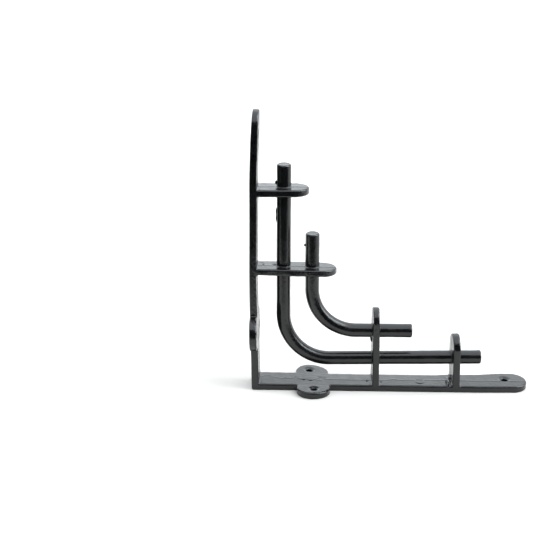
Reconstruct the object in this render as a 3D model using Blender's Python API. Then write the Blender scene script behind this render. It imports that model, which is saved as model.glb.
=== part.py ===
"""A cast iron shelf bracket: two flat arms at a right angle, four round-ended tabs and two bent round rods,
all cast in one piece and painted black.

Units are metres. The arm that lies flat runs along +X, the upright along +Z and the width across Y, with
the plane between the two halves of the mould at Y = 0. Shapes are worked out from the outer corner of the
two arms, and the finished bracket is then moved so that its origin is under the middle of its box.
"""

import math

import bmesh
import bpy
from mathutils import Matrix, Vector

MM = 0.001

# The two arms
ARM_LENGTH = 200.0 * MM
UPRIGHT_HEIGHT = 203.0 * MM
BAR_WIDTH = 20.5 * MM
ARM_THICKNESS = 4.7 * MM
UPRIGHT_THICKNESS = 5.2 * MM
EDGE_ROUNDING = 1.1 * MM
CORNER_OUTER_RADIUS = 1.6 * MM
CORNER_INNER_RADIUS = 1.8 * MM

# The arm's free end is a little fuller on its far side, and the upright's top leans inwards
END_RADIUS = 11.3 * MM
END_SHIFT = 1.7 * MM
END_SWELL_LENGTH = 26.0 * MM
LEAN_START = 150.0 * MM
LEAN_OF_BACK = 2.4 * MM
LEAN_OF_FRONT = 1.5 * MM
LEAN_POWER = 1.5

# The pair of round lobes on each arm, one on each side of the bar
LOBE_RADIUS = 12.1 * MM
LOBE_OFFSET = 13.0 * MM
LOBE_DISTANCE = 44.4 * MM
LOBE_NECK = 0.5 * MM

# Screw holes, countersunk on the side of the tabs
HOLE_DIAMETER = 4.4 * MM
SINK_DIAMETER = 7.6 * MM
LOBE_HOLE_OFFSET = 16.4 * MM
NEAR_HOLE_DISTANCE = 45.4 * MM
FAR_HOLE_DISTANCE = 41.8 * MM
ARM_END_HOLE_INSET = 15.8 * MM
UPRIGHT_END_HOLE_INSET = 16.2 * MM
ARM_END_HOLE_OFFSET = 2.8 * MM

# Round-ended tabs: distance of the middle from the outer corner, and height over the arm's outer face
INNER_TAB_DISTANCE = 89.6 * MM
INNER_TAB_REACH = 60.8 * MM
OUTER_TAB_DISTANCE = 147.1 * MM
OUTER_TAB_REACH = 41.1 * MM
TAB_ROOT_THICKNESS = 5.0 * MM
TAB_TIP_THICKNESS = 4.8 * MM
TAB_ROOT_FILLET = 1.2 * MM
TAB_EMBED = 1.2 * MM

# Round rods: distance of each straight run from the outer faces of both arms
ROD_DIAMETER = 9.9 * MM
OUTER_ROD_DISTANCE = 23.0 * MM
INNER_ROD_DISTANCE = 43.4 * MM
OUTER_BEND_RADIUS = 32.9 * MM
INNER_BEND_RADIUS = 31.6 * MM
OUTER_ROD_TOP = 165.9 * MM
OUTER_ROD_END = 165.6 * MM
INNER_ROD_TOP = 116.3 * MM
INNER_ROD_END = 115.4 * MM
ROD_END_ROUNDING = 0.7 * MM

# The small cast fillet between rod and tab: (distance from the tab, flare), as shares of its radius
ROD_FILLET = 0.9 * MM
ROD_FILLET_CURVE = ((0.0, 1.0), (0.35, 0.35), (1.0, 0.0))

# The outer rod's flat run is cast a little low at its bend and rises towards its free end
OUTER_ROD_DROP = 1.1 * MM
OUTER_ROD_RISE = 2.0 * MM

# How finely round shapes are divided
ARC_STEPS = 12
BEND_STEPS = 14
CORNER_STEPS = 4
FILLET_STEPS = 3
SWELL_STEPS = 3
LEAN_STEPS = 3
ROD_RESOLUTION = 4
DRILL_SIDES = 24
TIP_WIDTH_SHARE = 0.07
SINK_EMBED = 1.0 * MM
MOST_ROUNDING_SHARE = 0.45
MERGE_DISTANCE = 0.01 * MM
SHARP_ANGLE = math.radians(35)


def clear_scene():
    for thing in list(bpy.data.objects):
        bpy.data.objects.remove(thing)


def black_paint():
    """Satin black paint on cast iron."""
    material = bpy.data.materials.new("black_paint")
    material.use_nodes = True
    shader = material.node_tree.nodes["Principled BSDF"]
    shader.inputs["Base Color"].default_value = (0.012, 0.0125, 0.013, 1.0)
    shader.inputs["Roughness"].default_value = 0.3
    shader.inputs["Metallic"].default_value = 0.0
    return material


def skin(name, rings):
    """A closed object through rings with the same number of corners, capped at both ends."""
    body = bmesh.new()
    loops = [[body.verts.new(corner) for corner in ring] for ring in rings]
    for first, second in zip(loops, loops[1:], strict=False):
        for here, corner in enumerate(first):
            after = (here + 1) % len(first)
            body.faces.new((corner, first[after], second[after], second[here]))
    body.faces.new(loops[0])
    body.faces.new(loops[-1])
    bmesh.ops.recalc_face_normals(body, faces=body.faces)
    mesh = bpy.data.meshes.new(name)
    body.to_mesh(mesh)
    body.free()
    mesh.shade_smooth()
    mesh.set_sharp_from_angle(angle=SHARP_ANGLE)
    thing = bpy.data.objects.new(name, mesh)
    bpy.context.scene.collection.objects.link(thing)
    return thing


def flat_section(outer, inner, near, far, rounding=EDGE_ROUNDING):
    """A rounded rectangle from the outer to the inner point of the XZ plane, from near to far in Y."""
    out = Vector((outer[0], 0, outer[1]))
    step = Vector((inner[0], 0, inner[1])) - out
    thickness = step.length
    up = step.normalized()
    across = Vector((0, 1, 0))
    r = min(rounding, thickness * MOST_ROUNDING_SHARE, (far - near) * MOST_ROUNDING_SHARE)
    corners = []
    for low, side, start in ((0, far, -90), (1, far, 0), (1, near, 90), (0, near, 180)):
        height = r + low * (thickness - 2 * r)
        inward = side - r if side == far else side + r
        for degrees in (0, 45, 90):
            angle = math.radians(start + degrees)
            corners.append(
                out + up * (height + r * math.sin(angle)) + across * (inward + r * math.cos(angle))
            )
    return corners


def lobe_stations(middle):
    """(distance, half-width) along a bar where the lobes widen it, both ends included."""
    half = BAR_WIDTH / 2
    stations = [(middle - LOBE_RADIUS - LOBE_NECK, half)]
    for step in range(ARC_STEPS + 1):
        angle = math.pi * step / ARC_STEPS
        distance = middle - LOBE_RADIUS * math.cos(angle)
        stations.append((distance, LOBE_OFFSET + LOBE_RADIUS * math.sin(angle)))
    stations.append((middle + LOBE_RADIUS + LOBE_NECK, half))
    return stations


def round_end(tip, radius):
    """(distance, half-width) round a free end, from where its arc begins to the tip."""
    stations = []
    for step in range(ARC_STEPS):
        angle = math.pi / 2 * step / ARC_STEPS
        stations.append((tip - radius + radius * math.sin(angle), radius * math.cos(angle)))
    stations.append((tip, radius * TIP_WIDTH_SHARE))
    return stations


def arm_sections():
    """The flat arm from its free end to the corner."""
    half = BAR_WIDTH / 2
    sections = []
    for distance, width in reversed(round_end(ARM_LENGTH, END_RADIUS)):
        sections.append(((distance, 0), (distance, ARM_THICKNESS), END_SHIFT - width, END_SHIFT + width))
    swell_start = ARM_LENGTH - END_RADIUS - END_SWELL_LENGTH
    for step in reversed(range(SWELL_STEPS)):
        part = step / SWELL_STEPS
        ease = part * part * (3 - 2 * part)
        distance = swell_start + part * END_SWELL_LENGTH
        near = -half + ease * (END_SHIFT - END_RADIUS + half)
        far = half + ease * (END_SHIFT + END_RADIUS - half)
        sections.append(((distance, 0), (distance, ARM_THICKNESS), near, far))
    for distance, width in reversed(lobe_stations(LOBE_DISTANCE)):
        sections.append(((distance, 0), (distance, ARM_THICKNESS), -width, width))
    return sections


def corner_sections():
    """Round the corner, from the flat arm to the upright."""
    half = BAR_WIDTH / 2
    inner_x = UPRIGHT_THICKNESS + CORNER_INNER_RADIUS
    inner_z = ARM_THICKNESS + CORNER_INNER_RADIUS
    sections = []
    for step in range(CORNER_STEPS + 1):
        angle = math.pi / 2 * step / CORNER_STEPS
        outer = (
            CORNER_OUTER_RADIUS * (1 - math.sin(angle)),
            CORNER_OUTER_RADIUS * (1 - math.cos(angle)),
        )
        inner = (
            inner_x - CORNER_INNER_RADIUS * math.sin(angle),
            inner_z - CORNER_INNER_RADIUS * math.cos(angle),
        )
        sections.append((outer, inner, -half, half))
    return sections


def upright_section(height, width):
    """One section of the upright, with its top's lean inwards."""
    lean = max(0.0, (height - LEAN_START) / (UPRIGHT_HEIGHT - LEAN_START)) ** LEAN_POWER
    back = lean * LEAN_OF_BACK
    front = UPRIGHT_THICKNESS + lean * LEAN_OF_FRONT
    return ((back, height), (front, height), -width, width)


def upright_sections():
    """The upright from above the corner to its round top."""
    half = BAR_WIDTH / 2
    sections = [upright_section(*station) for station in lobe_stations(LOBE_DISTANCE)]
    lean_end = UPRIGHT_HEIGHT - half
    for step in range(LEAN_STEPS):
        height = LEAN_START + (lean_end - LEAN_START) * step / LEAN_STEPS
        sections.append(upright_section(height, half))
    sections += [upright_section(*station) for station in round_end(UPRIGHT_HEIGHT, half)]
    return sections


def make_arms():
    """Both arms with their lobes, as one bent bar."""
    sections = arm_sections() + corner_sections() + upright_sections()
    return skin("bracket", [flat_section(*section) for section in sections])


def make_tab(name, middle, reach, root):
    """A tab that stands up along +Z from z = 0, its faces square to X, flared into the bar at its root."""
    half = BAR_WIDTH / 2
    stations = [(root - TAB_EMBED, TAB_ROOT_THICKNESS / 2 + TAB_ROOT_FILLET, half)]
    for step in range(FILLET_STEPS + 1):
        angle = math.pi / 2 * step / FILLET_STEPS
        flare = TAB_ROOT_FILLET * (1 - math.sin(angle))
        rise = TAB_ROOT_FILLET * (1 - math.cos(angle))
        stations.append((root + rise, TAB_ROOT_THICKNESS / 2 + flare, half))
    for height, width in round_end(reach, half):
        taper = (height - root) / (reach - root)
        thickness = TAB_ROOT_THICKNESS + taper * (TAB_TIP_THICKNESS - TAB_ROOT_THICKNESS)
        stations.append((height, thickness / 2, width))
    rings = [
        flat_section((middle - thick, height), (middle + thick, height), -width, width)
        for height, thick, width in stations
    ]
    return skin(name, rings)


def lay_on_upright(thing):
    """Swaps X and Z, so that what stood on the flat arm stands out from the upright."""
    swap = Matrix(((0, 0, 1), (0, 1, 0), (1, 0, 0))).to_4x4()
    thing.data.transform(swap)
    thing.data.flip_normals()


def rod_run(reach, tab_faces):
    """(distance, share of the rod's radius) along a straight run, from its free end towards the bend.

    tab_faces holds the distance of each tab face that the rod passes through, with the side that the face
    looks to, -1 or 1, where a small cast fillet widens the rod.
    """
    radius = ROD_DIAMETER / 2
    run = [(reach, 1 - ROD_END_ROUNDING / radius), (reach - ROD_END_ROUNDING, 1.0)]
    for face, side in tab_faces:
        for away, flare in ROD_FILLET_CURVE:
            run.append((face + side * away * ROD_FILLET, 1 + flare * ROD_FILLET / radius))
    run.sort(reverse=True)
    return run


def rod_path(distance, bend_radius, top, end, tab_faces, drop=0.0, rise=0.0):
    """(point, share of the rod's radius) from the top of the upright run to the end of the flat one."""
    middle = distance + bend_radius
    path = [(Vector((distance, 0, height)), share) for height, share in rod_run(top, tab_faces)]
    for step in range(BEND_STEPS + 1):
        angle = math.pi / 2 * step / BEND_STEPS
        across = middle - bend_radius * math.cos(angle)
        height = middle - (bend_radius + drop) * math.sin(angle)
        path.append((Vector((across, 0, height)), 1.0))
    for along, share in reversed(rod_run(end, tab_faces)):
        height = distance - drop + rise * (along - middle) / (end - middle)
        path.append((Vector((along, 0, height)), share))
    return path


def make_rod(name, path):
    """A round rod from a bevelled curve through the points of its path."""
    curve = bpy.data.curves.new(name, "CURVE")
    curve.dimensions = "3D"
    curve.bevel_depth = ROD_DIAMETER / 2
    curve.bevel_resolution = ROD_RESOLUTION
    curve.use_fill_caps = True
    spline = curve.splines.new("POLY")
    spline.points.add(len(path) - 1)
    for knot, (point, share) in zip(spline.points, path, strict=True):
        knot.co = (*point, 1.0)
        knot.radius = share
    guide = bpy.data.objects.new(name + "_path", curve)
    bpy.context.scene.collection.objects.link(guide)
    seen = guide.evaluated_get(bpy.context.evaluated_depsgraph_get())
    mesh = bpy.data.meshes.new_from_object(seen)
    bpy.data.objects.remove(guide)
    body = bmesh.new()
    body.from_mesh(mesh)
    bmesh.ops.remove_doubles(body, verts=body.verts, dist=MERGE_DISTANCE)
    bmesh.ops.recalc_face_normals(body, faces=body.faces)
    body.to_mesh(mesh)
    body.free()
    mesh.shade_smooth()
    rod = bpy.data.objects.new(name, mesh)
    bpy.context.scene.collection.objects.link(rod)
    return rod


def make_drill(name, point, direction, thickness):
    """A countersinking drill that enters the bar at point and goes through it along direction."""
    hole, sink = HOLE_DIAMETER / 2, SINK_DIAMETER / 2
    profile = (
        (-SINK_EMBED, sink + SINK_EMBED),
        (sink - hole, hole),
        (thickness + 2 * SINK_EMBED, hole),
    )
    turn = direction.to_track_quat("Z", "Y").to_matrix()
    rings = []
    for depth, radius in profile:
        ring = []
        for side in range(DRILL_SIDES):
            angle = 2 * math.pi * side / DRILL_SIDES
            ring.append(point + turn @ Vector((radius * math.cos(angle), radius * math.sin(angle), depth)))
        rings.append(ring)
    return skin(name, rings)


def make_drills():
    """One drill for each screw hole: two through the lobes and one near the free end of each arm."""
    down, back = Vector((0, 0, -1)), Vector((-1, 0, 0))
    drills = []
    for side, distance, across in (
        ("near", NEAR_HOLE_DISTANCE, -LOBE_HOLE_OFFSET),
        ("far", FAR_HOLE_DISTANCE, LOBE_HOLE_OFFSET),
    ):
        on_arm = Vector((distance, across, ARM_THICKNESS))
        on_upright = Vector((UPRIGHT_THICKNESS, across, distance))
        drills.append(make_drill("arm_drill_" + side, on_arm, down, ARM_THICKNESS))
        drills.append(make_drill("upright_drill_" + side, on_upright, back, UPRIGHT_THICKNESS))
    end = Vector((ARM_LENGTH - ARM_END_HOLE_INSET, ARM_END_HOLE_OFFSET, ARM_THICKNESS))
    drills.append(make_drill("arm_drill_end", end, down, ARM_THICKNESS))
    height = UPRIGHT_HEIGHT - UPRIGHT_END_HOLE_INSET
    front = upright_section(height, BAR_WIDTH / 2)[1]
    top = Vector((front[0], 0, height))
    drills.append(make_drill("upright_drill_end", top, back, UPRIGHT_THICKNESS))
    return drills


def combine(body, thing, operation):
    """Joins a guide object to the body, or cuts it from the body, and keeps the guide out of the render."""
    thing.hide_render = True
    thing.display_type = "WIRE"
    step = body.modifiers.new(thing.name, "BOOLEAN")
    step.operation = operation
    step.solver = "EXACT"
    step.object = thing


def main():
    clear_scene()
    bracket = make_arms()
    bracket.data.materials.append(black_paint())

    tabs = []
    for name, middle, reach in (
        ("inner_tab", INNER_TAB_DISTANCE, INNER_TAB_REACH),
        ("outer_tab", OUTER_TAB_DISTANCE, OUTER_TAB_REACH),
    ):
        tabs.append(make_tab(name + "_of_arm", middle, reach, ARM_THICKNESS))
        tabs.append(make_tab(name + "_of_upright", middle, reach, UPRIGHT_THICKNESS))
        lay_on_upright(tabs[-1])

    thick = TAB_ROOT_THICKNESS / 2
    inner_faces = [(INNER_TAB_DISTANCE + side * thick, side) for side in (-1, 1)]
    outer_faces = [(OUTER_TAB_DISTANCE + side * thick, side) for side in (-1, 1)]
    outer_path = rod_path(
        OUTER_ROD_DISTANCE,
        OUTER_BEND_RADIUS,
        OUTER_ROD_TOP,
        OUTER_ROD_END,
        inner_faces + outer_faces,
        OUTER_ROD_DROP,
        OUTER_ROD_RISE,
    )
    inner_path = rod_path(
        INNER_ROD_DISTANCE,
        INNER_BEND_RADIUS,
        INNER_ROD_TOP,
        INNER_ROD_END,
        inner_faces,
    )
    rods = [make_rod("outer_rod", outer_path), make_rod("inner_rod", inner_path)]
    for thing in tabs + rods:
        combine(bracket, thing, "UNION")
    for thing in make_drills():
        combine(bracket, thing, "DIFFERENCE")

    for thing in list(bpy.context.scene.objects):
        thing.location.x -= ARM_LENGTH / 2


main()
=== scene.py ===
"""A cast iron shelf bracket with two bent rods, painted satin black, on a white studio floor.

The frame brings the bracket's plain solid. Here it gets the skin of the real casting: edges rounded by
the mould, small fillets, the parting line where the halves of the mould met, flash, a blister, pits and
cracks. That skin is worked out in millimetres from the outer corner of the two arms. X runs along the flat
arm, Z up the upright and Y across, with the near side at -Y.
"""

import math
from collections import namedtuple

import bmesh
import bpy
import numpy as np
from mathutils import Matrix, Vector


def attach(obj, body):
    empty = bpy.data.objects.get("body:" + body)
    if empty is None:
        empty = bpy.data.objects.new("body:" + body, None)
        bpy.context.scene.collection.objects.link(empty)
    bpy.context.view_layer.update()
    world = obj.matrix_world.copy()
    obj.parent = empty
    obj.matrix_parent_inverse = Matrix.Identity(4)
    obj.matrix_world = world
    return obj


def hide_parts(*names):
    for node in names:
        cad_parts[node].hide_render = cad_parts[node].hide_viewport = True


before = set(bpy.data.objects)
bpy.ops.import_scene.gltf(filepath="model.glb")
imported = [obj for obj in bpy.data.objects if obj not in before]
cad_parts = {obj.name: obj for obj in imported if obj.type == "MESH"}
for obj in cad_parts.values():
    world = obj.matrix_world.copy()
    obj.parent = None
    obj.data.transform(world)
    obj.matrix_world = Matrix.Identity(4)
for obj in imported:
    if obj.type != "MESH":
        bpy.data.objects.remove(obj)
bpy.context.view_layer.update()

MM = 0.001

# The two arms, in millimetres from the outer corner
ROW_MIDDLE = 100.0
ARM_LENGTH = 200.0
UPRIGHT_HEIGHT = 203.0
BAR_HALF_WIDTH = 10.25
ARM_THICKNESS = 4.7
UPRIGHT_THICKNESS = 5.2
CORNER_OUTER_RADIUS = 1.6
CORNER_FILLET = 1.4
EDGE_ROUNDING = 1.25
BACK_EDGE_ROUNDING = 0.4
MOULD_DRAFT = 0.022

# The warp of the cooled casting: the upright bows back, and the arm's far side is lifted at both ends.
# A pair gives where a change starts and where it is complete.
UPRIGHT_BOW = 0.85
BOW_MIDDLE = 78.0
BOW_SPREAD = 44.0
BOW_FADE_FROM_WALL = (12.0, 4.0)
ARM_LIFT = 0.9
LIFT_NEAR_CORNER = (52.0, 36.0)
LIFT_NEAR_TIP = (128.0, 150.0)
LIFT_FADE_FROM_WALL = (0.5, 8.0)
LIFT_FADE_FROM_SHELF = (14.0, 7.0)

# The arm's tip is a little fuller on its far side, and the upright's top leans away from the wall
ARM_TIP_RADIUS = 11.3
ARM_TIP_SHIFT = 1.7
TIP_SWELL_LENGTH = 26.0
LEAN_START = 150.0
LEAN_OF_BACK = 2.4
LEAN_OF_FRONT = 1.5
LEAN_POWER = 1.5

# The screw lobes: distance from the corner and offset across, far one first
LOBE_RADIUS = 12.1
LOBES = ((43.7, 13.0), (44.9, -13.0))
LOBE_FILLET = 1.3

# Countersunk screw holes: distance from the corner and offset across
HOLE_RADIUS = 2.2
SINK_RADIUS = 3.8
SINK_STEEPNESS = 0.62
SINK_ABOVE_FACE = 1.0
HOLE_EDGE_ROUNDING = 0.45
LOBE_HOLES = ((41.8, 15.4), (45.4, -16.4))
ARM_TIP_HOLE = (184.2, 2.8)
UPRIGHT_TIP_HOLE = (186.7, 0.0)

# The two mounting faces were ground flat: how deep that shows, and where the marks of the casting start
GROUND_DEPTH = 0.06
MARKS_START = (0.0, 2.0)

# Round-ended tabs: middle at the root, reach, thickness at root and tip, lean towards the corner per mm,
# and twist, which is how far the warp moved the far side towards the corner
Tab = namedtuple("Tab", "middle reach root tip lean twist")
ARM_TABS = (
    Tab(middle=89.9, reach=61.2, root=4.8, tip=4.7, lean=0.008, twist=0.45),
    Tab(middle=147.95, reach=41.4, root=5.2, tip=5.0, lean=0.017, twist=0.9),
)
UPRIGHT_TABS = (
    Tab(middle=90.1, reach=60.5, root=4.7, tip=4.7, lean=0.02, twist=-0.2),
    Tab(middle=146.6, reach=40.8, root=5.1, tip=5.0, lean=0.0, twist=-0.5),
)
TAB_FILLET = 0.9

# Round rods: distance from the arms, bend radius, top, end, how far the flat run drops at the bend and
# rises again to its end, and how far the top leans off the wall
Rod = namedtuple("Rod", "distance bend_radius top end drop rise top_lean")
OUTER_ROD = Rod(distance=22.95, bend_radius=32.9, top=165.4, end=165.6, drop=1.1, rise=2.0, top_lean=0.5)
INNER_ROD = Rod(distance=43.4, bend_radius=31.6, top=116.3, end=115.4, drop=-0.25, rise=0.0, top_lean=0.0)
ROD_RADIUS = 4.95
ROD_END_ROUNDING = 1.2
ROD_END_DISH = 0.15
DISH_FROM_EDGE = (0.8, 2.6)
ROD_TOP_SLOPE = 0.07
ROD_FILLET = 0.45

# The cast bead around a rod where it enters a tab
BEAD_RADIUS = 0.34
BEAD_OFFSET = 0.25

# The parting line on the arms, as (distance from the corner, place across), and its ridge
PARTING_LINE = (
    (0.0, 0.4), (6.0, 1.2), (9.5, 3.6), (13.0, 3.3), (16.5, 1.0), (22.0, -0.2), (28.0, -0.3),
    (32.5, 1.6), (36.0, -1.8), (39.5, -1.0), (43.0, -3.2), (46.5, -0.6), (49.8, 2.2), (54.0, -0.3),
    (60.0, -1.0), (79.0, -1.2), (103.0, -0.7), (120.0, -0.1), (138.0, 0.0), (158.0, -0.9), (200.0, -1.1),
)
SEAM_HEIGHT = 0.17
ROD_SEAM_HEIGHT = 0.1
SEAM_WIDTH = 0.5
SEAM_START = (1.0, 3.0)
PARTING_STEP = 0.25
MOULD_STEP = 0.08
MOULD_STEP_WIDTH = 0.35

# Marks of the casting: (middle, size, height), where a hollow has a negative height
MARKS = (
    # Ripples where the parting line crosses the lobes
    ((32.2, 2.1, 4.7), (2.6, 0.5, 1.5), -0.22),
    ((35.3, 0.1, 4.7), (1.8, 0.7, 1.5), 0.2),
    ((37.5, -2.5, 4.7), (1.3, 0.7, 1.5), -0.34),
    ((38.9, -1.2, 4.7), (1.6, 0.6, 1.5), 0.2),
    ((42.7, -3.5, 4.7), (1.6, 0.7, 1.5), -0.36),
    ((41.0, 1.2, 4.7), (1.5, 0.7, 1.5), 0.14),
    ((49.4, 2.6, 4.7), (2.2, 0.6, 1.5), -0.26),
    ((52.4, 1.2, 4.7), (2.2, 0.6, 1.5), -0.3),
    ((49.2, -2.6, 4.7), (2.4, 0.8, 1.5), 0.18),
    # Pits beside the tabs and ripples between them
    ((84.2, -3.2, 4.7), (0.9, 0.9, 1.5), -0.45),
    ((93.9, -4.5, 4.7), (1.0, 0.9, 1.5), -0.45),
    ((103.5, -0.7, 4.7), (2.2, 0.6, 1.5), -0.18),
    ((103.8, 0.8, 4.7), (2.0, 0.7, 1.5), 0.14),
    ((148.9, -7.5, 4.7), (0.8, 0.8, 1.5), -0.25),
    # Cracks along the flash at the outer tab's foot
    ((145.1, 0.4, 5.4), (0.6, 4.2, 2.4), -1.4),
    ((141.7, -4.2, 4.7), (0.45, 2.2, 1.5), -1.1),
    ((142.9, -8.2, 4.7), (0.45, 1.6, 1.5), -1.1),
    # Nicks and a swelling on the lower tab's top, and a slit up the outer tab
    ((17.0, 0.7, 91.9), (1.2, 1.4, 1.5), -1.3),
    ((8.7, 1.0, 91.9), (0.6, 1.4, 1.3), -0.7),
    ((7.4, 6.8, 91.9), (1.2, 1.4, 1.2), 0.4),
    ((144.4, 0.3, 12.5), (1.2, 0.35, 3.5), -0.3),
)

# Flash and lumps that stand out of the skin: (middle, radii)
LUMPS = (
    ((18.0, 0.0, 152.4), (0.85, 0.7, 1.3)),
    ((18.3, 0.0, 131.8), (0.75, 0.6, 2.4)),
    ((18.4, 0.0, 127.0), (0.85, 0.6, 2.8)),
    ((38.3, 0.0, 107.4), (1.15, 0.6, 0.9)),
)
LUMP_FILLET = 0.35

# Beads of thick paint inside the screw holes: (middle, radii)
PAINT_BEADS = (
    ((43.9, -15.6, 3.5), (0.8, 0.9, 0.8)),
    ((47.6, -16.6, 3.6), (0.55, 1.6, 0.8)),
    ((182.0, 3.2, 3.7), (1.1, 0.9, 0.7)),
)
BEAD_FILLET = 0.25

# Fins of flash: one end, other end, half width and how many times flatter than wide
FINS = (
    ((85.8, 0.0, 39.2), (86.7, 0.0, 35.4), 0.6, 1.0),
    ((142.9, 4.0, 5.2), (143.5, -3.4, 5.5), 1.1, 2.6),
    ((143.5, -3.4, 5.5), (145.2, -10.0, 5.3), 1.0, 2.6),
    ((139.9, 3.6, 4.6), (142.4, 5.6, 5.0), 0.5, 1.3),
)
FIN_FILLET = 0.3

# The lens-shaped blister beside the parting line, with its rim as shares of its radii
BLISTER_MIDDLE = (122.2, -2.6)
BLISTER_RADII = (3.4, 4.0)
BLISTER_HEIGHT = 0.34
BLISTER_RIM = (1.08, 0.82)
BLISTER_FADE_HEIGHT = (9.0, 6.0)

# Unevenness of the skin: (wavelength, height) from broad waves down to coarse sand. The rods are more even.
UNEVENNESS = ((38.0, 0.1), (11.0, 0.045), (3.6, 0.024), (1.9, 0.02))
WAVES_PER_KIND = 9
WAVELENGTH_SPREAD = (0.75, 1.35)
WAVE_SEED = 546
ROD_EVENNESS = 0.55
EVEN_NEAR_ROD = (2.0, 0.5)

# Mesh of the skin: size of its net, the most triangles, and how points step onto the skin
NET_SIZE = 0.45
MOST_TRIANGLES = 190_000
MOST_KEPT_SHARE = 0.99
PROBE = 0.06
LEAST_SLOPE = 0.3
LONGEST_STEP = 0.7
FAR_OFF = 9.0

# Photograph: lens in pixels, its turns in degrees, and the corner's place and distance
PHOTO_SIDE = 550
LENS_PIXELS = 1034.12
CAMERA_PITCH = 18.496
CAMERA_ROLL = -0.245
CAMERA_YAW = 2.373
CORNER_PIXEL = (252.498, 384.063)
CORNER_DEPTH = 762.588
SENSOR_WIDTH = 36.0

# The three finishes: name, skin, stretch of the grain, smoothest and roughest paint, and relief in mm.
# The grain of a ground face is drawn out along its arm.
SANDY_SKIN = {"Grain Size": 1.0, "Grain Depth": 0.75, "Peel Size": 1.8}
GROUND_SKIN = {"Grain Size": 0.35, "Grain Depth": 0.8, "Peel Size": 1.2}
FINISHES = (
    ("black_paint_on_sand_casting", SANDY_SKIN, (1.0, 1.0, 1.0), 0.15, 0.23, 0.13),
    ("black_paint_on_ground_underside", GROUND_SKIN, (0.08, 1.0, 1.0), 0.17, 0.25, 0.045),
    ("black_paint_on_ground_back", GROUND_SKIN, (1.0, 1.0, 0.08), 0.17, 0.25, 0.045),
)

# Black paint: clean and dusty colour, how much dust follows the grain, and which dust and patches show
CLEAN_PAINT_COLOUR = (0.0006, 0.0006, 0.0007, 1.0)
DUSTY_PAINT_COLOUR = (0.0068, 0.0072, 0.0076, 1.0)
DUST_ON_GRAIN = 0.65
DUST_RANGE = (0.4, 0.62)
PATCH_RANGE = (0.3, 0.7)
PATCHES_PER_METRE = 70.0
RELIEF_STRENGTH = 0.8

# The white tent: how bright it is towards each side, and between which Y or Z of a direction it changes
CAMERA_SIDE_LIGHT = 0.05
SIDE_LIGHT = 1.3
REAR_LIGHT = 1.9
OVERHEAD_LIGHT = 2.3
BACKDROP_LIGHT = 1.0
CAMERA_TO_SIDE = (-0.55, -0.1)
SIDE_TO_REAR = (0.0, 0.6)
FRONT_TO_BEHIND = (-0.05, 0.05)
OVERHEAD_EDGE = (0.3, 0.62)
TENT_TINT = (0.945, 1.0, 1.045, 1.0)

# A softbox to the right of the bracket, with the directions between which each of its edges fades
RIGHT_SOFTBOX_LIGHT = 8.5
RIGHT_SOFTBOX_EDGES = (("X", 0.3, 0.5), ("Y", -0.5, -0.25), ("Y", 0.25, 0.0), ("Z", 0.05, 0.25))

# White paper floor and a dark card towards the camera, in metres
FLOOR_HALF_SIDE = 30.0
PAPER_COLOUR = (0.548, 0.526, 0.505, 1.0)
FLAG_HALF_WIDTH = 1.0
FLAG_PLACE = -0.23
FLAG_TOP = 0.3
CARD_COLOUR = (0.01, 0.01, 0.01, 1.0)


def eased(start, end, value):
    """0 up to start, 1 from end on, and a smooth change between them. The end may be the lower one."""
    share = np.clip((value - start) / (end - start), 0.0, 1.0)
    return share * share * (3.0 - 2.0 * share)


def joined(first, second, fillet):
    """Distance to two forms run together, with a hollow fillet between them."""
    hollow = np.hypot(np.maximum(fillet - first, 0.0), np.maximum(fillet - second, 0.0))
    return np.maximum(np.minimum(first, second), fillet) - hollow


def shared(first, second, rounding):
    """Distance to what lies in both forms, with a rounded edge where they cross."""
    proud = np.hypot(np.maximum(first + rounding, 0.0), np.maximum(second + rounding, 0.0))
    return np.minimum(np.maximum(first, second), -rounding) + proud


def bar_outline(along, across, tip, tip_radius, tip_shift):
    """Distance to an arm's outline seen square on: straight sides, round tip and a pair of lobes."""
    swell_end = tip - tip_radius
    swell = eased(swell_end - TIP_SWELL_LENGTH, swell_end, along)
    half = BAR_HALF_WIDTH + (tip_radius - BAR_HALF_WIDTH) * swell
    past = np.maximum(along - swell_end, 0.0)
    outline = np.hypot(past, across - tip_shift * swell) - half
    for distance, offset in LOBES:
        lobe = np.hypot(along - distance, across - offset) - LOBE_RADIUS
        outline = joined(outline, lobe, LOBE_FILLET)
    return outline


def parting_table():
    """The parting line as a smooth curve, read off at even steps along the arm."""
    along = np.arange(0.0, UPRIGHT_HEIGHT + 2.0, PARTING_STEP)
    place = np.full_like(along, PARTING_LINE[0][1])
    for (start, before), (end, after) in zip(PARTING_LINE, PARTING_LINE[1:]):
        place += (after - before) * eased(start, end, along)
    return along, place


PARTING_TABLE = parting_table()


def off_parting_line(x, y, z):
    """How far across a point lies from the parting line, positive on the far side."""
    return y - np.interp(np.maximum(x, z), *PARTING_TABLE)


def upright_lean(z):
    """How far the upright leans away from the wall, as a share of its lean at the very tip."""
    return np.clip((z - LEAN_START) / (UPRIGHT_HEIGHT - LEAN_START), 0.0, 1.2) ** LEAN_POWER


def warped(x, y, z):
    """The point before the casting cooled: the upright straight and the arm flat."""
    bow = UPRIGHT_BOW * np.exp(-(((z - BOW_MIDDLE) / BOW_SPREAD) ** 2)) * eased(*BOW_FADE_FROM_WALL, x)
    at_ends = eased(*LIFT_NEAR_CORNER, x) + eased(*LIFT_NEAR_TIP, x)
    across = np.clip((y + BAR_HALF_WIDTH) / (2 * BAR_HALF_WIDTH), 0.0, 1.5)
    lift = ARM_LIFT * at_ends * across * eased(*LIFT_FADE_FROM_WALL, x) * eased(*LIFT_FADE_FROM_SHELF, z)
    return x + bow, y, z - lift


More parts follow.
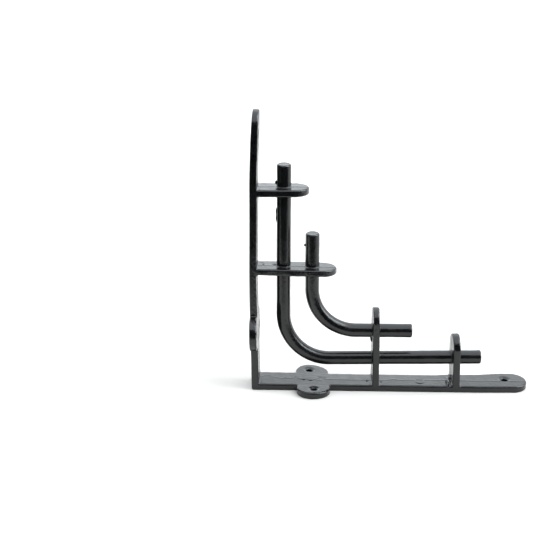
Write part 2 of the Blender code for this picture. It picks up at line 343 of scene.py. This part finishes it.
def flat_work(x, y, z):
    """Distance to both arms and their four tabs: a profile in XZ, trimmed by outlines across it."""
    x, y, z = warped(x, y, z)
    draft = MOULD_DRAFT * (np.minimum(np.abs(y), BAR_HALF_WIDTH) - BAR_HALF_WIDTH)
    draft -= MOULD_STEP / 2 * (1.0 + np.tanh(off_parting_line(x, y, z) / MOULD_STEP_WIDTH))
    lean = upright_lean(z)
    top = z - ARM_THICKNESS + draft
    face = x - UPRIGHT_THICKNESS - LEAN_OF_FRONT * lean + draft
    profile = joined(top, face, CORNER_FILLET)
    outline = np.where(
        x > z,
        bar_outline(x, y, ARM_LENGTH, ARM_TIP_RADIUS, ARM_TIP_SHIFT),
        bar_outline(z, y, UPRIGHT_HEIGHT, BAR_HALF_WIDTH, 0.0),
    )
    nearest_tab = np.full_like(x, FAR_OFF)
    far_share = np.clip((y + BAR_HALF_WIDTH) / (2 * BAR_HALF_WIDTH), 0.0, 1.0)
    for along, out, tabs in ((x, z, ARM_TABS), (z, x, UPRIGHT_TABS)):
        for tab in tabs:
            share = np.clip(out / tab.reach, 0.0, 1.0)
            moved = tab.lean * out + tab.twist * far_share
            thickness = tab.root + share * (tab.tip - tab.root)
            slab = np.abs(along - tab.middle + moved) - thickness / 2 + draft / 2
            past = np.maximum(out - (tab.reach - BAR_HALF_WIDTH), 0.0)
            outline = np.where(slab < profile, np.hypot(past, y) - BAR_HALF_WIDTH, outline)
            profile = joined(profile, slab, TAB_FILLET)
            nearest_tab = np.minimum(nearest_tab, np.maximum(slab, out - tab.reach))
    back = shared(-z, LEAN_OF_BACK * lean - x, CORNER_OUTER_RADIUS)
    form = shared(shared(outline, profile, EDGE_ROUNDING), back, BACK_EDGE_ROUNDING)
    seam = SEAM_HEIGHT * np.exp(-((off_parting_line(x, y, z) / SEAM_WIDTH) ** 2))
    return form - seam * eased(*SEAM_START, np.minimum(x, z)), nearest_tab


def bent_rod(x, y, z, rod, nearest_tab):
    """Distance to a round rod that comes down the upright, bends and runs out, with a bead at every tab."""
    middle = rod.distance + rod.bend_radius
    width = rod.bend_radius
    height = rod.bend_radius + rod.drop
    from_run = z - (rod.distance - rod.drop + rod.rise * (x - middle) / (rod.end - middle))
    bend_x = (middle - x) / width
    bend_z = (middle - z) / height
    reach = np.maximum(np.hypot(bend_x, bend_z), 0.1)
    slope = np.hypot(bend_x / width, bend_z / height)
    from_bend = (reach - 1.0) * reach / np.maximum(slope, 0.1 / width)
    in_bend = (x < middle) & (z < middle)
    from_upright_run = x - rod.distance - rod.top_lean * eased(middle, rod.top, z)
    from_route = np.where(in_bend, from_bend, np.where(z > x, from_upright_run, from_run))
    off_axis = np.hypot(from_route, y)
    past_ends = np.maximum(z - rod.top - ROD_TOP_SLOPE * y, x - rod.end)
    dish = ROD_END_DISH * eased(*DISH_FROM_EDGE, ROD_RADIUS - off_axis)
    seam = ROD_SEAM_HEIGHT * np.exp(-((y / SEAM_WIDTH) ** 2))
    form = shared(off_axis - ROD_RADIUS - seam, past_ends + dish, ROD_END_ROUNDING)
    bead = np.hypot(off_axis - ROD_RADIUS - BEAD_OFFSET, nearest_tab) - BEAD_RADIUS
    return joined(form, np.maximum(bead, past_ends), ROD_FILLET)


def screw_hole(along, across, depth, place):
    """Distance out of a countersunk hole."""
    off_axis = np.hypot(along - place[0], across - place[1])
    sink = SINK_RADIUS - np.maximum(depth, -SINK_ABOVE_FACE) / SINK_STEEPNESS - off_axis
    return np.maximum(HOLE_RADIUS - off_axis, sink * SINK_STEEPNESS / math.hypot(1.0, SINK_STEEPNESS))


def all_holes(x, y, z):
    """Distance out of every screw hole, three through each arm."""
    x, y, z = warped(x, y, z)
    arm_depth = ARM_THICKNESS - z
    upright_depth = UPRIGHT_THICKNESS + LEAN_OF_FRONT * upright_lean(z) - x
    holes = [screw_hole(x, y, arm_depth, place) for place in (*LOBE_HOLES, ARM_TIP_HOLE)]
    holes += [screw_hole(z, y, upright_depth, place) for place in (*LOBE_HOLES, UPRIGHT_TIP_HOLE)]
    return np.maximum.reduce(holes)


def draw_waves():
    """Directions and phases of the waves that make the skin uneven, the same in every run."""
    rng = np.random.default_rng(WAVE_SEED)
    kinds = []
    for wavelength, height in UNEVENNESS:
        ways = rng.normal(size=(WAVES_PER_KIND, 3))
        ways /= np.linalg.norm(ways, axis=1)[:, None]
        lengths = wavelength * rng.uniform(*WAVELENGTH_SPREAD, WAVES_PER_KIND)[:, None]
        phases = rng.uniform(0.0, 2 * math.pi, WAVES_PER_KIND)
        kinds.append(((2 * math.pi * ways / lengths).T, phases, height / math.sqrt(WAVES_PER_KIND)))
    return kinds


WAVES = draw_waves()


def unevenness(points):
    """Height of the skin's waves at each point."""
    height = np.zeros(len(points))
    for ways, phases, size in WAVES:
        height += size * np.sin(points @ ways + phases).sum(axis=1)
    return height


def fin(points, start, end, half_width, flatness):
    """Distance to a fin of flash that runs from start to end with an oval section."""
    start = np.array(start)
    way = np.array(end) - start
    share = np.clip((points - start) @ way / (way @ way), 0.0, 1.0)
    off = (points - start - share[:, None] * way) * np.array((1.0, 1.0, flatness))
    return (np.linalg.norm(off, axis=1) - half_width) / flatness


def pebble(points, middle, radii):
    """Distance to a small oval lump."""
    reach = np.linalg.norm((points - np.array(middle)) / np.array(radii), axis=1)
    return (reach - 1.0) * min(radii)


def mark_relief(points):
    """Height of the pits, slits and swellings, and of the blister beside the parting line."""
    height = np.zeros(len(points))
    for middle, size, rise in MARKS:
        off = (points - np.array(middle)) / np.array(size)
        height += rise * np.exp(-(off * off).sum(axis=1))
    off_x = (points[:, 0] - BLISTER_MIDDLE[0]) / BLISTER_RADII[0]
    off_y = (points[:, 1] - BLISTER_MIDDLE[1]) / BLISTER_RADII[1]
    on_arm = eased(*BLISTER_FADE_HEIGHT, points[:, 2])
    return height + BLISTER_HEIGHT * on_arm * eased(*BLISTER_RIM, np.hypot(off_x, off_y))


def casting(points):
    """Distance from each point to the casting's skin, negative inside the iron."""
    x, y, z = points.T
    form, nearest_tab = flat_work(x, y, z)
    nearest_rod = np.full_like(x, FAR_OFF)
    for rod in (OUTER_ROD, INNER_ROD):
        off_rod = bent_rod(x, y, z, rod, nearest_tab)
        form = joined(form, off_rod, ROD_FILLET)
        nearest_rod = np.minimum(nearest_rod, off_rod)
    for middle, radii in LUMPS:
        form = joined(form, pebble(points, middle, radii), LUMP_FILLET)
    for start, end, half_width, flatness in FINS:
        form = joined(form, fin(points, start, end, half_width, flatness), FIN_FILLET)
    off_ground_faces = eased(*MARKS_START, np.minimum(x, z))
    calm = 1.0 - ROD_EVENNESS * eased(*EVEN_NEAR_ROD, nearest_rod)
    form -= off_ground_faces * (unevenness(points) * calm + mark_relief(points))
    form = shared(form, all_holes(x, y, z), HOLE_EDGE_ROUNDING)
    for middle, radii in PAINT_BEADS:
        form = joined(form, pebble(points, middle, radii), BEAD_FILLET)
    return form


def distance_and_slope(points):
    """Distance to the skin at each point, and the way straight out of it."""
    ways = np.array(((1, 1, 1), (1, -1, -1), (-1, 1, -1), (-1, -1, 1)), dtype=float)
    total = np.zeros(len(points))
    slope = np.zeros_like(points)
    for way in ways:
        distance = casting(points + way * PROBE)
        total += distance
        slope += distance[:, None] * way
    return total / 4, slope / (4 * PROBE)


def laid_on_skin(points, steps):
    """Moves points straight onto the skin."""
    for _ in range(steps):
        distance, slope = distance_and_slope(points)
        size = np.maximum((slope * slope).sum(axis=1), LEAST_SLOPE)
        points = points - np.clip(distance / size, -LONGEST_STEP, LONGEST_STEP)[:, None] * slope
    return points


def evened(points, edges):
    """Moves each point halfway to the middle of its neighbours."""
    count = np.bincount(edges.ravel(), minlength=len(points))
    middle = np.empty_like(points)
    for axis in range(3):
        sums = np.bincount(edges[:, 0], weights=points[edges[:, 1], axis], minlength=len(points))
        sums += np.bincount(edges[:, 1], weights=points[edges[:, 0], axis], minlength=len(points))
        middle[:, axis] = sums / np.maximum(count, 1)
    return (points + middle) / 2


def places_of(mesh):
    """The places of a mesh's vertices, one row each."""
    flat = np.empty(len(mesh.vertices) * 3, dtype=np.float32)
    mesh.vertices.foreach_get("co", flat)
    return flat.reshape(-1, 3).astype(float)


def put_places(mesh, points):
    """Moves a mesh's vertices to new places."""
    mesh.vertices.foreach_set("co", points.astype(np.float32).ravel())
    mesh.update()


def with_modifier(thing, kind, **settings):
    """The object's mesh after one modifier, as a new mesh."""
    step = thing.modifiers.new(kind.lower(), kind)
    for name, value in settings.items():
        setattr(step, name, value)
    seen = thing.evaluated_get(bpy.context.evaluated_depsgraph_get())
    mesh = bpy.data.meshes.new_from_object(seen)
    thing.modifiers.remove(step)
    return mesh


def sow_flash(mesh):
    """Adds a rough pebble at each lump and a peg at each fin, for the net to lie on."""
    grown = bmesh.new()
    grown.from_mesh(mesh)
    for middle, radii in LUMPS:
        place = Matrix.Translation(middle) @ Matrix.Diagonal((*radii, 1.0))
        bmesh.ops.create_icosphere(grown, subdivisions=2, radius=1.0, matrix=place)
    for start, end, half_width, flatness in FINS:
        way = Vector(end) - Vector(start)
        middle = (Vector(start) + Vector(end)) / 2
        place = Matrix.Translation(middle) @ way.to_track_quat("Z", "Y").to_matrix().to_4x4()
        radius = half_width / math.sqrt(flatness)
        length = way.length + radius
        bmesh.ops.create_cone(
            grown, cap_ends=True, segments=12, radius1=radius, radius2=radius, depth=length, matrix=place
        )
    grown.to_mesh(mesh)
    grown.free()


def make_casting():
    """The bracket's skin: a fine net over the solid, laid on the casting's true form."""
    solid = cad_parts["bracket"]
    mesh = solid.data.copy()
    mesh.transform(solid.matrix_world)
    to_corner = Matrix.Translation((ROW_MIDDLE, 0.0, 0.0)) @ Matrix.Scale(1 / MM, 4)
    mesh.transform(to_corner)
    sow_flash(mesh)
    piece = bpy.data.objects.new("bracket_casting", mesh)
    bpy.context.scene.collection.objects.link(piece)

    size = NET_SIZE
    piece.data = with_modifier(piece, "REMESH", mode="VOXEL", voxel_size=size, adaptivity=0.0)
    net = piece.data
    edges = np.empty(len(net.edges) * 2, dtype=np.int32)
    net.edges.foreach_get("vertices", edges)
    edges = edges.reshape(-1, 2)
    points = laid_on_skin(places_of(net), 2)
    for _ in range(2):
        points = laid_on_skin(evened(points, edges), 1)
    put_places(net, laid_on_skin(points, 2))

    net.calc_loop_triangles()
    share = min(MOST_KEPT_SHARE, MOST_TRIANGLES / len(net.loop_triangles))
    piece.data = with_modifier(piece, "DECIMATE", ratio=share, use_collapse_triangulate=True)
    mesh = piece.data
    points = laid_on_skin(places_of(mesh), 2)
    put_places(mesh, points)
    mesh.transform(to_corner.inverted())
    mesh.shade_smooth()
    slope = distance_and_slope(points)[1]
    slope /= np.linalg.norm(slope, axis=1)[:, None]
    mesh.normals_split_custom_set_from_vertices(slope)
    dress_casting(mesh, points)
    return piece


def dress_casting(mesh, points):
    """Paint over sandy skin everywhere, but over ground iron on the two mounting faces."""
    mesh.materials.clear()
    for finish in FINISHES:
        mesh.materials.append(black_paint(*finish))
    faces = np.empty(len(mesh.polygons) * 3, dtype=np.int32)
    mesh.polygons.foreach_get("vertices", faces)
    corners = points[faces.reshape(-1, 3)]
    finish_of_face = np.zeros(len(mesh.polygons), dtype=np.int32)
    finish_of_face[(corners[:, :, 2] < GROUND_DEPTH).all(axis=1)] = 1
    finish_of_face[(corners[:, :, 0] < GROUND_DEPTH).all(axis=1)] = 2
    mesh.polygons.foreach_set("material_index", finish_of_face)


def add_socket(group, name, kind, side, value=None):
    """A named input or output of a node group, with its usual value."""
    socket = group.interface.new_socket(name=name, in_out=side, socket_type=kind)
    if value is not None:
        socket.default_value = value
    return socket


def sand_grain_group():
    """Height and patchiness of a paint film over sand-cast iron."""
    group = bpy.data.node_groups.new("painted_sand_skin", "ShaderNodeTree")
    add_socket(group, "Place", "NodeSocketVector", "INPUT")
    add_socket(group, "Grain Size", "NodeSocketFloat", "INPUT", 0.5)
    add_socket(group, "Grain Depth", "NodeSocketFloat", "INPUT", 0.6)
    add_socket(group, "Peel Size", "NodeSocketFloat", "INPUT", 1.6)
    add_socket(group, "Height", "NodeSocketFloat", "OUTPUT")
    add_socket(group, "Patches", "NodeSocketFloat", "OUTPUT")
    add_socket(group, "Dust", "NodeSocketFloat", "OUTPUT")
    nodes, links = group.nodes, group.links
    given = nodes.new("NodeGroupInput")
    made = nodes.new("NodeGroupOutput")

    def per_metre(socket_name):
        """How many grains of a size in millimetres fit in a metre."""
        count = nodes.new("ShaderNodeMath")
        count.operation = "DIVIDE"
        count.inputs[0].default_value = 1 / MM
        links.new(given.outputs[socket_name], count.inputs[1])
        return count.outputs[0]

    grain = nodes.new("ShaderNodeTexNoise")
    grain.inputs["Detail"].default_value = 3.0
    grain.inputs["Roughness"].default_value = 0.6
    links.new(given.outputs["Place"], grain.inputs["Vector"])
    links.new(per_metre("Grain Size"), grain.inputs["Scale"])
    peel = nodes.new("ShaderNodeTexNoise")
    peel.inputs["Detail"].default_value = 1.0
    links.new(given.outputs["Place"], peel.inputs["Vector"])
    links.new(per_metre("Peel Size"), peel.inputs["Scale"])
    height = nodes.new("ShaderNodeMix")
    height.data_type = "FLOAT"
    links.new(given.outputs["Grain Depth"], height.inputs["Factor"])
    links.new(peel.outputs["Fac"], height.inputs["A"])
    links.new(grain.outputs["Fac"], height.inputs["B"])
    links.new(height.outputs["Result"], made.inputs["Height"])

    patches = nodes.new("ShaderNodeTexNoise")
    patches.inputs["Scale"].default_value = PATCHES_PER_METRE
    patches.inputs["Detail"].default_value = 4.0
    links.new(given.outputs["Place"], patches.inputs["Vector"])
    links.new(patches.outputs["Fac"], made.inputs["Patches"])

    dust = nodes.new("ShaderNodeMix")
    dust.data_type = "FLOAT"
    dust.inputs["Factor"].default_value = DUST_ON_GRAIN
    links.new(patches.outputs["Fac"], dust.inputs["A"])
    links.new(grain.outputs["Fac"], dust.inputs["B"])
    links.new(dust.outputs["Result"], made.inputs["Dust"])
    return group


def black_paint(name, skin_values, stretch, smoothest, roughest, relief):
    """Satin black paint: its skin's values, the stretch of its grain, its roughness, its relief in mm."""
    material = bpy.data.materials.new(name)
    material.use_nodes = True
    nodes, links = material.node_tree.nodes, material.node_tree.links
    shader = nodes["Principled BSDF"]
    place = nodes.new("ShaderNodeTexCoord")
    drawn = nodes.new("ShaderNodeMapping")
    drawn.inputs["Scale"].default_value = stretch
    skin = nodes.new("ShaderNodeGroup")
    skin.node_tree = SAND_SKIN
    for socket, value in skin_values.items():
        skin.inputs[socket].default_value = value
    links.new(place.outputs["Object"], drawn.inputs["Vector"])
    links.new(drawn.outputs["Vector"], skin.inputs["Place"])

    colour = nodes.new("ShaderNodeValToRGB")
    colour.color_ramp.elements[0].position = DUST_RANGE[0]
    colour.color_ramp.elements[0].color = CLEAN_PAINT_COLOUR
    colour.color_ramp.elements[1].position = DUST_RANGE[1]
    colour.color_ramp.elements[1].color = DUSTY_PAINT_COLOUR
    links.new(skin.outputs["Dust"], colour.inputs["Fac"])
    links.new(colour.outputs["Color"], shader.inputs["Base Color"])

    gloss = nodes.new("ShaderNodeMapRange")
    gloss.inputs["From Min"].default_value = PATCH_RANGE[0]
    gloss.inputs["From Max"].default_value = PATCH_RANGE[1]
    gloss.inputs["To Min"].default_value = smoothest
    gloss.inputs["To Max"].default_value = roughest
    links.new(skin.outputs["Patches"], gloss.inputs["Value"])
    links.new(gloss.outputs["Result"], shader.inputs["Roughness"])

    bump = nodes.new("ShaderNodeBump")
    bump.inputs["Strength"].default_value = RELIEF_STRENGTH
    bump.inputs["Distance"].default_value = relief * MM
    links.new(skin.outputs["Height"], bump.inputs["Height"])
    links.new(bump.outputs["Normal"], shader.inputs["Normal"])
    return material


def studio_sheet(name, corners, finish, colour, roughness, specular):
    """A flat four-cornered sheet of paper or card."""
    mesh = bpy.data.meshes.new(name)
    mesh.from_pydata(corners, [], [(0, 1, 2, 3)])
    sheet = bpy.data.objects.new(name, mesh)
    bpy.context.scene.collection.objects.link(sheet)
    material = bpy.data.materials.new(finish)
    material.use_nodes = True
    shader = material.node_tree.nodes["Principled BSDF"]
    shader.inputs["Base Color"].default_value = colour
    shader.inputs["Roughness"].default_value = roughness
    shader.inputs["Specular IOR Level"].default_value = specular
    mesh.materials.append(material)
    return sheet


def lay_floor():
    """A wide sheet of white studio paper under the bracket."""
    half = FLOOR_HALF_SIDE
    corners = [(-half, -half, 0), (half, -half, 0), (half, half, 0), (-half, half, 0)]
    floor = studio_sheet("white_floor", corners, "white_studio_paper", PAPER_COLOUR, 0.9, 0.1)


def stand_flag():
    """A dark card on the camera's side, seen only in the paint's reflections."""
    half = FLAG_HALF_WIDTH
    foot = [(-half, FLAG_PLACE, 0), (half, FLAG_PLACE, 0)]
    top = [(half, FLAG_PLACE, FLAG_TOP), (-half, FLAG_PLACE, FLAG_TOP)]
    flag = studio_sheet("dark_flag", foot + top, "dull_black_card", CARD_COLOUR, 1.0, 0.0)
    flag.visible_camera = False
    flag.visible_diffuse = False
    flag.visible_shadow = False
    flag.visible_transmission = False


def light_studio():
    """A white tent, bright behind the bracket and overhead, dark on the camera's side, with a softbox."""
    world = bpy.data.worlds.new("white_tent")
    bpy.context.scene.world = world
    world.use_nodes = True
    nodes, links = world.node_tree.nodes, world.node_tree.links
    tent = nodes["Background"]
    tent.inputs["Color"].default_value = TENT_TINT
    place = nodes.new("ShaderNodeTexCoord")
    split = nodes.new("ShaderNodeSeparateXYZ")
    links.new(place.outputs["Generated"], split.inputs["Vector"])

    def between(value, low, high, start, end):
        """Start where the value is low, end where it is high, and a smooth change between them."""
        step = nodes.new("ShaderNodeMapRange")
        step.interpolation_type = "SMOOTHSTEP"
        step.inputs["From Min"].default_value = low
        step.inputs["From Max"].default_value = high
        step.inputs["To Min"].default_value = start
        step.inputs["To Max"].default_value = end
        links.new(value, step.inputs["Value"])
        return step.outputs["Result"]

    def times(first, second):
        product = nodes.new("ShaderNodeMath")
        product.operation = "MULTIPLY"
        links.new(first, product.inputs[0])
        links.new(second, product.inputs[1])
        return product.outputs["Value"]

    def mixed(factor, first, second):
        mix = nodes.new("ShaderNodeMix")
        mix.data_type = "FLOAT"
        links.new(factor, mix.inputs["Factor"])
        links.new(first, mix.inputs["A"])
        if isinstance(second, float):
            mix.inputs["B"].default_value = second
        else:
            links.new(second, mix.inputs["B"])
        return mix.outputs["Result"]

    front = between(split.outputs["Y"], *CAMERA_TO_SIDE, CAMERA_SIDE_LIGHT, SIDE_LIGHT)
    rear = between(split.outputs["Y"], *SIDE_TO_REAR, SIDE_LIGHT, REAR_LIGHT)
    behind = between(split.outputs["Y"], *FRONT_TO_BEHIND, 0.0, 1.0)
    above = between(split.outputs["Z"], *OVERHEAD_EDGE, 0.0, 1.0)
    light = mixed(above, mixed(behind, front, rear), OVERHEAD_LIGHT)
    edges = [between(split.outputs[axis], low, high, 0.0, 1.0) for axis, low, high in RIGHT_SOFTBOX_EDGES]
    softbox = edges[0]
    for edge in edges[1:]:
        softbox = times(softbox, edge)
    light = mixed(softbox, light, RIGHT_SOFTBOX_LIGHT)
    path = nodes.new("ShaderNodeLightPath")
    light = mixed(path.outputs["Is Camera Ray"], light, BACKDROP_LIGHT)
    links.new(light, tent.inputs["Strength"])


def photograph_camera():
    """The camera where the photograph was taken, worked out from where the outer corner shows in it."""
    turn, tilt, roll = (math.radians(angle) for angle in (CAMERA_YAW, CAMERA_PITCH, CAMERA_ROLL))
    level_right = Vector((math.cos(turn), math.sin(turn), 0.0))
    level_ahead = Vector((-math.sin(turn), math.cos(turn), 0.0))
    up = Vector((0.0, 0.0, 1.0))
    level_down = -level_ahead * math.sin(tilt) - up * math.cos(tilt)
    ahead = level_ahead * math.cos(tilt) - up * math.sin(tilt)
    right = level_right * math.cos(roll) - level_down * math.sin(roll)
    down = level_right * math.sin(roll) + level_down * math.cos(roll)
    per_pixel = CORNER_DEPTH / LENS_PIXELS
    middle = PHOTO_SIDE / 2
    corner = right * (CORNER_PIXEL[0] - middle) * per_pixel + down * (CORNER_PIXEL[1] - middle) * per_pixel
    corner += ahead * CORNER_DEPTH
    data = bpy.data.cameras.new("photograph_camera")
    data.sensor_width = SENSOR_WIDTH
    data.lens = LENS_PIXELS / PHOTO_SIDE * SENSOR_WIDTH
    data.clip_start = 0.01
    data.clip_end = 50.0
    camera = bpy.data.objects.new("photograph_camera", data)
    bpy.context.scene.collection.objects.link(camera)
    place = Matrix((right, -down, -ahead)).transposed().to_4x4()
    place.translation = (-corner - Vector((ROW_MIDDLE, 0.0, 0.0))) * MM
    camera.matrix_world = place
    bpy.context.scene.camera = camera


SAND_SKIN = sand_grain_group()
bracket = make_casting()
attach(bracket, "root")
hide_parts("bracket")
lay_floor()
stand_flag()
light_studio()
photograph_camera()
bpy.context.scene.view_settings.view_transform = "Standard"
